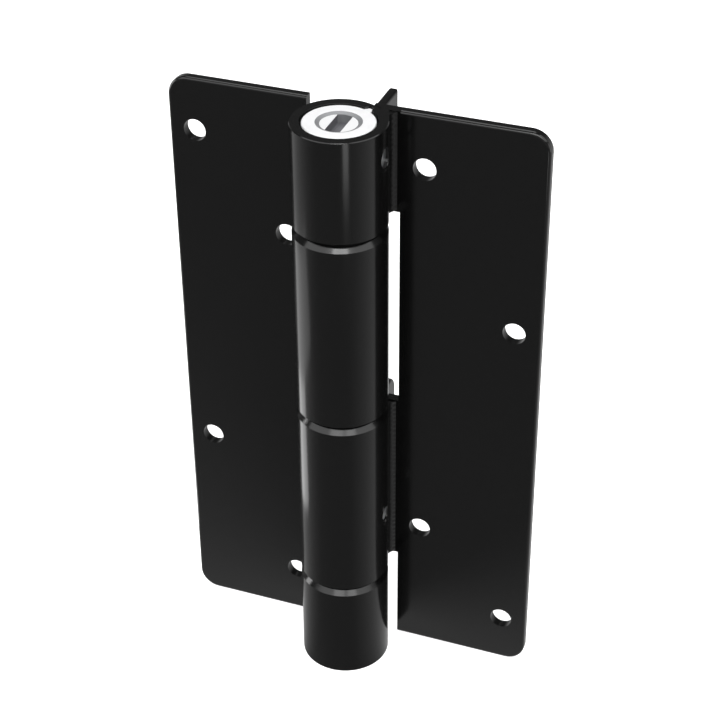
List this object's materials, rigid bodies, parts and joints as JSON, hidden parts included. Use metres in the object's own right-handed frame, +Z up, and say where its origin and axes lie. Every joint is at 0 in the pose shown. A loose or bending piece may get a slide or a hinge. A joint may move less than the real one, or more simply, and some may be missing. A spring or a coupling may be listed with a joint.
{
  "type": "self-closing gate hinge",
  "caption": "Self-closing hydraulic gate hinge: two drilled sheet-metal leaves on a long knuckled barrel with a spring and damper cartridge inside and a slotted speed adjuster on top.",
  "frame": {"origin": "on the pivot axis, level with the bottom end of the barrel", "axes": "+Z up along the pivot axis; +X from the barrel towards the gate leaf; +Y towards the post and gate that the leaves' backs are screwed to"},
  "size_m": [0.1572, 0.0522, 0.2615],
  "materials": {
    "black_coat": "satin black powder coat",
    "bright_head": "fine turned",
    "valve_steel": "turned stainless steel",
    "plain_steel": "ground steel, lightly oiled",
    "zinc_steel": "zinc plated",
    "bush_plastic": "moulded black acetal",
    "seal_rubber": "nitrile",
    "spring_steel": "oil-tempered wire"
  },
  "bodies": {
    "post_leaf": {"post_bracket": "black_coat", "post_knuckle_upper": "black_coat", "post_knuckle_lower": "black_coat", "post_weld_beads": "black_coat", "post_bush_pin": "zinc_steel", "post_plug_pin": "zinc_steel", "upper_bush": "bush_plastic", "middle_bush": "bush_plastic", "lower_bush": "bush_plastic", "bottom_plug": "zinc_steel", "cam_spindle": "plain_steel", "thrust_race_lower": "plain_steel", "thrust_balls": "plain_steel"},
    "gate_leaf": {"gate_bracket": "black_coat", "gate_knuckle_upper": "black_coat", "gate_knuckle_lower": "black_coat", "gate_weld_beads": "black_coat", "gate_head_pin": "zinc_steel", "gate_tube_pin": "zinc_steel", "cartridge_tube": "plain_steel", "cartridge_head": "bright_head", "spindle_gland": "plain_steel", "gland_seal": "seal_rubber", "head_seal": "seal_rubber", "closing_spring": "spring_steel", "thrust_race_upper": "plain_steel"},
    "damper_piston": {"piston": "plain_steel", "piston_seal": "seal_rubber", "piston_key": "plain_steel", "cam_pins": "plain_steel", "check_ball": "plain_steel"},
    "speed_valve": {"speed_adjuster": "valve_steel", "stem_seal": "seal_rubber"}
  },
  "joints": [
    {"name": "leaf_swing", "type": "hinge", "parent": "post_leaf", "child": "gate_leaf", "pos_m": [0, 0, 0], "axis": [0, 0, -1], "range_deg": [0, 180], "stiffness_Nm_per_rad": 3, "springref_deg": -20.05},
    {"name": "piston_slide", "type": "slide", "parent": "gate_leaf", "child": "damper_piston", "axis": [0, 0, 1], "range_m": [0, 0.024], "deforming": ["closing_spring"]},
    {"name": "speed_adjuster_turn", "type": "hinge", "parent": "gate_leaf", "child": "speed_valve", "pos_m": [0, 0, 0.25], "axis": [0, 0, 1], "range_deg": [0, 270]}
  ],
  "couplings": [
    {"joint": "piston_slide", "follows": "leaf_swing", "m_per_rad": 0.0076394}
  ]
}
